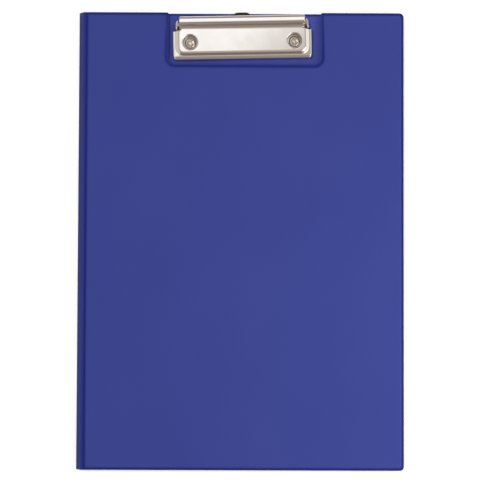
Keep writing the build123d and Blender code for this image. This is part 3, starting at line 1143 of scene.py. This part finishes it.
# Springs
# Two torsion springs of drawn steel wire are wound on the rod. One arm of each bears on the
# base plate and the other on the back of the lever. They wind up as the jaw opens, but here they
# are built at rest and attached to no body.
wire_radius = 0.5
coil_radius = 1.95
coil_pitch = 1.5
coil_turns = 4
coil_place = 28.0
low_arm_end = Vector((13.6, 1.6))
high_arm_reach = 2.4
pivot = Vector((pivot_back, pivot_height))
low_arm = low_arm_end - pivot
rise_way = direction(lever_rise)
rise_start = Vector((lever_root, panel_top))
rise_start = rise_start + Vector((sin(lever_rise), 1 - cos(lever_rise))) * root_bend
arm_rest = rise_start + rise_way * high_arm_reach
high_arm = arm_rest - rise_way.orthogonal() * (sheet + wire_radius) - pivot
first_angle = atan2(low_arm.y, low_arm.x) + acos(coil_radius / low_arm.length)
last_angle = atan2(high_arm.y, high_arm.x) - acos(coil_radius / high_arm.length) + 2 * pi * coil_turns


def wire_tree():
    """Geometry Nodes that draw round wire along a line of points."""
    tree, given = making_tree("drawn wire", {"Wire radius": "Float", "Facets": "Int"})
    path = add_node(tree, "GeometryNodeMeshToCurve", {"Mesh": given["Geometry"]}).outputs["Curve"]
    values = {"Resolution": given["Facets"], "Radius": given["Wire radius"]}
    section = add_node(tree, "GeometryNodeCurvePrimitiveCircle", values).outputs["Curve"]
    values = {"Curve": path, "Profile Curve": section, "Fill Caps": True}
    return end_tree(tree, given, add_node(tree, "GeometryNodeCurveToMesh", values).outputs["Mesh"])


def spring_points(side):
    """Middle line of the wire: lower arm, coil and upper arm."""
    points = []

    def put(across, offset):
        points.append(Vector((side * across, *(pivot + offset))) * mm)

    tangent = direction(first_angle) * coil_radius
    for step in range(6):
        put(coil_place, low_arm.lerp(tangent, step / 6))
    steps = 24 * coil_turns
    for step in range(steps + 1):
        angle = first_angle + (last_angle - first_angle) * step / steps
        across = coil_place - coil_pitch * (angle - first_angle) / (2 * pi)
        put(across, direction(angle) * coil_radius)
    last = direction(last_angle) * coil_radius
    for step in range(1, 7):
        put(across, last.lerp(high_arm, step / 6))
    return points, across


spring_steel = plated_material(
    "spring steel", screen_colour(196, 190, 182), screen_colour(160, 154, 148), 0.2, 0.34, 0.000006
)
drawn_wire = wire_tree()
for side, sign in (("left", -1), ("right", 1)):
    points, coil_end = spring_points(sign)
    values = {"Wire radius": wire_radius * mm, "Facets": 14, "Finish": spring_steel}
    bm = grown("spring line", points, drawn_wire, values)
    bm.transform(clip_place)
    spring = finished(f"wound_spring_{side}", bm, spring_steel, 60.0)
    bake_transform(spring)
    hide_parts(f"clip_spring_{side}")


# Hanging loop
# A flat tongue of black moulded plastic with a hole, kept in the base plate's channel.
# It slides out past the top edge to hang the folder up.
def moulded_material():
    """Black moulded plastic with a fine spark finish."""
    material, tree, shader = new_material("black plastic", screen_colour(20, 19, 19))
    place = add_node(tree, "ShaderNodeTexCoord").outputs["Object"]
    spark = noise(tree, place, 4200.0, 3.0)
    scuffs = noise(tree, place, 240.0, 5.0)
    colour = mixed(tree, scuffs, screen_colour(17, 16, 16), screen_colour(28, 27, 27))
    dress(tree, shader, colour, spread(tree, scuffs, 0.3, 0.48), spark, 0.3, 0.00003)
    return material


black_plastic = moulded_material()
loop_half = 7.0
loop_start = -3.5
loop_end = 21.2
loop_low = 0.05
loop_high = 1.35
loop_hole_radius = 4.0
loop_hole_back = 13.9
loop_corner = 4.5
loop_edge = 0.3
lug_reach = 2.0
lug_length = 4.0
lug_corner = 0.6
lug_fillet = 0.2


def loop_piece():
    """The loop's flat tongue with its lugs and hole, all its edges rounded."""
    lug_end = loop_start + lug_length
    wide = loop_half + lug_reach
    corners = [(0, loop_start, 0), (wide, loop_start, lug_corner), (wide, lug_end, lug_corner)]
    corners += [(loop_half, lug_end, lug_fillet), (loop_half, loop_end, loop_corner)]
    mirrored = [(-x, y, radius) for x, y, radius in reversed(corners)]
    outline = rounded_line(corners + mirrored, 8)[:-1]
    bm = bmesh.new()
    edges = []
    for line in (outline, circle(0, loop_hole_back, loop_hole_radius, 40)):
        edges += closed_loop(bm, [(*point, loop_low) for point in line])[1]
    draw_out(bm, edges, (0, 0, loop_high - loop_low))
    bmesh.ops.recalc_face_normals(bm, faces=bm.faces)
    sharp = [edge for edge in bm.edges if edge.calc_face_angle(0.0) > radians(60)]
    bmesh.ops.bevel(bm, geom=sharp, offset=loop_edge * mm, segments=3, profile=0.5, affect="EDGES")
    bm.transform(clip_place)
    return finished("moulded_hanging_loop", bm, black_plastic, 40.0)


hanging_loop = loop_piece()
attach(hanging_loop, "hanger")
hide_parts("hanging_loop")


# Table, light, camera
# The folder lies on a plain white table under a broad soft light, seen from almost
# straight above. The camera stands where the photograph's corners put it, and its focal
# length is in pixels of the picture.
def plain_rays(tree):
    """1 for the rays that come from the camera or through something clear, 0 for all others."""
    path = add_node(tree, "ShaderNodeLightPath").outputs
    return sum_of(tree, "MAXIMUM", path["Is Camera Ray"], path["Is Transmission Ray"])


floor_size = 6.0
floor_mesh = bpy.data.meshes.new("table")
corner = floor_size / 2
floor_mesh.from_pydata(
    [(-corner, -corner, 0), (corner, -corner, 0), (corner, corner, 0), (-corner, corner, 0)],
    [],
    [(0, 1, 2, 3)],
)
floor_mesh.transform(Matrix.Translation((0, 0, -0.0003)))
floor = placed("table", floor_mesh)
floor_material, tree, shader = new_material("white table", (0.66, 0.66, 0.66, 1.0))
shader.inputs["Roughness"].default_value = 0.9
shader.inputs["Specular IOR Level"].default_value = 0.1
shader.inputs["Emission Color"].default_value = (1, 1, 1, 1)
feed(tree, shader.inputs["Emission Strength"], sum_of(tree, "MULTIPLY", plain_rays(tree), 0.32))
floor_mesh.materials.append(floor_material)

world = bpy.data.worlds.new("studio")
bpy.context.scene.world = world
world.use_nodes = True
tree = world.node_tree
tree.nodes.clear()
heading = add_node(tree, "ShaderNodeTexCoord").outputs["Generated"]
parts = add_node(tree, "ShaderNodeSeparateXYZ", {"Vector": heading})
room = add_node(tree, "ShaderNodeValToRGB", {"Fac": parts.outputs["Z"]})
ramp = room.color_ramp
ramp.elements[0].position = 0.0
ramp.elements[0].color = (0.28, 0.25, 0.23, 1)
ramp.elements[1].position = 1.0
ramp.elements[1].color = (0.47, 0.405, 0.365, 1)
for position, colour in (
    (0.24, (0.25, 0.205, 0.18, 1)),
    (0.6, (0.4, 0.345, 0.31, 1)),
    (0.77, (0.17, 0.13, 0.11, 1)),
    (0.87, (0.21, 0.17, 0.145, 1)),
    (0.95, (0.38, 0.335, 0.3, 1)),
):
    ramp.elements.new(position).color = colour


def soft_edge(tree, heading, way, start, end):
    """A mask that rises from 0 to 1 as the heading's share along way goes from start to end."""
    share = add_node(tree, "ShaderNodeVectorMath", {0: heading, 1: way}, operation="DOT_PRODUCT")
    return add_node(
        tree,
        "ShaderNodeMapRange",
        {"Value": share.outputs["Value"], "From Min": start, "From Max": end},
        interpolation_type="SMOOTHSTEP",
    ).outputs["Result"]


def patch_of_light(tree, name, edges, below, colour):
    """Below, with a colour laid over it where all the edges' masks are 1."""
    mask = 1.0
    for way, start, end in edges:
        mask = sum_of(tree, "MULTIPLY", soft_edge(tree, heading, way, start, end), mask)
    laid = mixed(tree, mask, below, colour)
    laid.node.label = name
    return laid


rightwards, backwards, window_way = (1, 0, 0), (0, 1, 0), (0.673, -0.740, 0)
sky = room.outputs["Color"]
for name, colour, edges in (
    ("left wall", (0.6, 0.565, 0.54, 1), [((-1, 0, 0), 0.32, 0.52)]),
    ("right wall", (0.46, 0.41, 0.37, 1), [(rightwards, 0.1, 0.26), (rightwards, 0.95, 0.85)]),
    ("right window", (0.86, 0.83, 0.8, 1), [(rightwards, 0.28, 0.5), (rightwards, 0.97, 0.9)]),
    (
        "window overhead",
        (1.03, 1.01, 1.0, 1),
        [
            (window_way, -0.085, -0.11),
            (rightwards, -0.22, -0.08),
            (backwards, -0.5, -0.1),
            (backwards, 0.52, 0.32),
        ],
    ),
    (
        "front lamp",
        (2.6, 2.55, 2.5, 1),
        [
            (rightwards, 0.16, 0.24),
            (rightwards, 0.5, 0.42),
            (backwards, -0.42, -0.34),
            (backwards, 0.04, -0.04),
        ],
    ),
):
    sky = patch_of_light(tree, name, edges, sky, colour)
shown = mixed(tree, plain_rays(tree), sky, (1, 1, 1, 1))
background = add_node(tree, "ShaderNodeBackground", {"Color": shown, "Strength": 1.0})
add_node(tree, "ShaderNodeOutputWorld", {"Surface": background.outputs["Background"]})


def soft_light(name, spot, aim, size, power):
    """A square lamp with an even soft face, turned to look at aim."""
    lamp = bpy.data.lights.new(name, "AREA")
    lamp.shape = "SQUARE"
    lamp.size = size
    lamp.energy = power
    made = placed(name, lamp)
    made.location = spot
    made.rotation_mode = "QUATERNION"
    made.rotation_quaternion = (Vector(aim) - Vector(spot)).to_track_quat("-Z", "Y")
    made.visible_glossy = False
    return made


soft_light("key", (-0.42, 0.2, 1.95), (0, 0, 0), 0.4, 23.0)
soft_light("fill", (0.42, -0.14, 0.32), (0, 0, 0), 0.25, 1.6)

picture_width = 480
focal_length = 1842.69
camera = bpy.data.cameras.new("camera")
camera.sensor_width = 36.0
camera.lens = focal_length * camera.sensor_width / picture_width
view = placed("camera", camera)
view.rotation_mode = "XYZ"
view.rotation_euler = (0.05055, -0.00238, 0.00369)
view.location = (-0.003165, -0.064977, 1.292251)
camera.clip_start = 0.05
camera.clip_end = 20.0
bpy.context.scene.camera = view
bpy.context.scene.view_settings.view_transform = "Standard"
